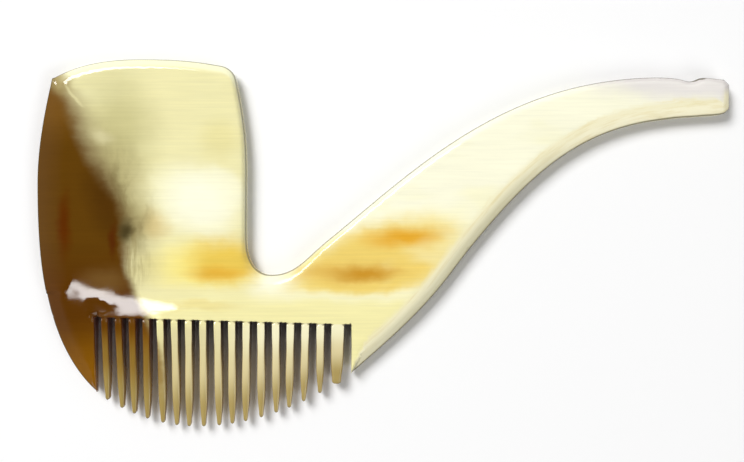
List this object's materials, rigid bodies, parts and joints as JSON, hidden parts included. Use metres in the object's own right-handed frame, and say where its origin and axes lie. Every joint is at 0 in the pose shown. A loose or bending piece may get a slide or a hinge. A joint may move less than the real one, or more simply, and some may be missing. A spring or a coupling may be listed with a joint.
{
  "type": "beard comb",
  "caption": "Flat beard comb cut from one plate of polished horn in the outline of a bent tobacco pipe, with a curved row of tapered teeth under the bowl.",
  "frame": {"origin": "middle of the comb's bounding box in plan, on its back face", "axes": "+X from the bowl towards the mouthpiece, +Y from the tooth ends towards the bowl's rim, +Z out of the front face; the comb lies flat on its back face"},
  "size_m": [0.1596, 0.0849, 0.005],
  "materials": {
    "horn_bowl": "polished horn, cream with a dark olive front",
    "horn_band": "polished horn, amber",
    "horn_stem": "polished horn, pale cream",
    "horn_guard": "polished horn, brown",
    "horn_teeth": "polished horn, beige"
  },
  "bodies": {
    "root": {"bowl": "horn_bowl", "root_band": "horn_band", "shank": "horn_band", "stem": "horn_stem", "bit": "horn_stem", "front_guard": "horn_guard", "heel_guard": "horn_stem", "tooth_01": "horn_teeth", "tooth_02": "horn_teeth", "tooth_03": "horn_teeth", "tooth_04": "horn_teeth", "tooth_05": "horn_teeth", "tooth_06": "horn_teeth", "tooth_07": "horn_teeth", "tooth_08": "horn_teeth", "tooth_09": "horn_teeth", "tooth_10": "horn_teeth", "tooth_11": "horn_teeth", "tooth_12": "horn_teeth", "tooth_13": "horn_teeth", "tooth_14": "horn_teeth", "tooth_15": "horn_teeth", "tooth_16": "horn_teeth", "tooth_17": "horn_teeth"}
  },
  "joints": []
}
